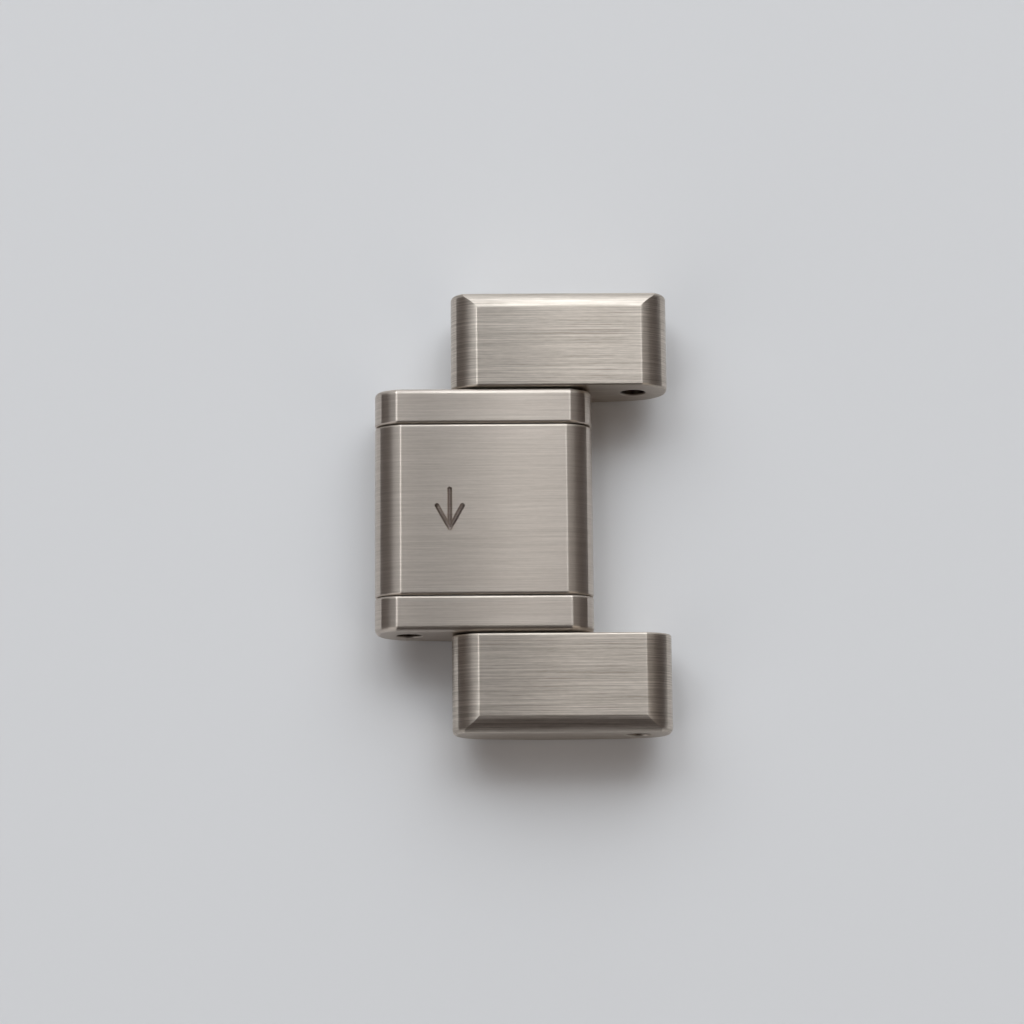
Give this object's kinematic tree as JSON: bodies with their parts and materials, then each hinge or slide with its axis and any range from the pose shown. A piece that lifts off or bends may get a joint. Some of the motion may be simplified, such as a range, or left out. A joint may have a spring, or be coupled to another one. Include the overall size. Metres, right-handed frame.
{
  "type": "watch bracelet link",
  "caption": "Brushed steel bracelet link: a block of strips pinned between staggered outer links, with a cross bore at each end for a connecting pin and an engraved arrow.",
  "frame": {"origin": "middle of the free bore through the block, 1.7 mm below the face with the arrow", "axes": "+X along the bracelet towards the free ears of the outer links, +Y across the link along the bores, +Z out of the face with the arrow"},
  "size_m": [0.0146, 0.022, 0.004],
  "materials": {
    "outer_link_steel": "coarse brushed along the bracelet",
    "side_link_steel": "fine brushed along the bracelet",
    "centre_link_steel": "fine brushed along the bracelet",
    "pin_steel": "drawn and ground bright",
    "collar_steel": "rolled spring strip"
  },
  "bodies": {
    "link": {"outer_link_left": "outer_link_steel", "outer_link_right": "outer_link_steel", "side_link_left": "side_link_steel", "side_link_right": "side_link_steel", "centre_link": "centre_link_steel", "fixed_pin_front": "pin_steel", "fixed_pin_rear": "pin_steel"},
    "collar": {"friction_collar": "collar_steel"}
  },
  "joints": [
    {"name": "collar_slide", "type": "slide", "parent": "link", "child": "collar", "axis": [0, 1, 0], "range_m": [0, 0.0013]}
  ]
}
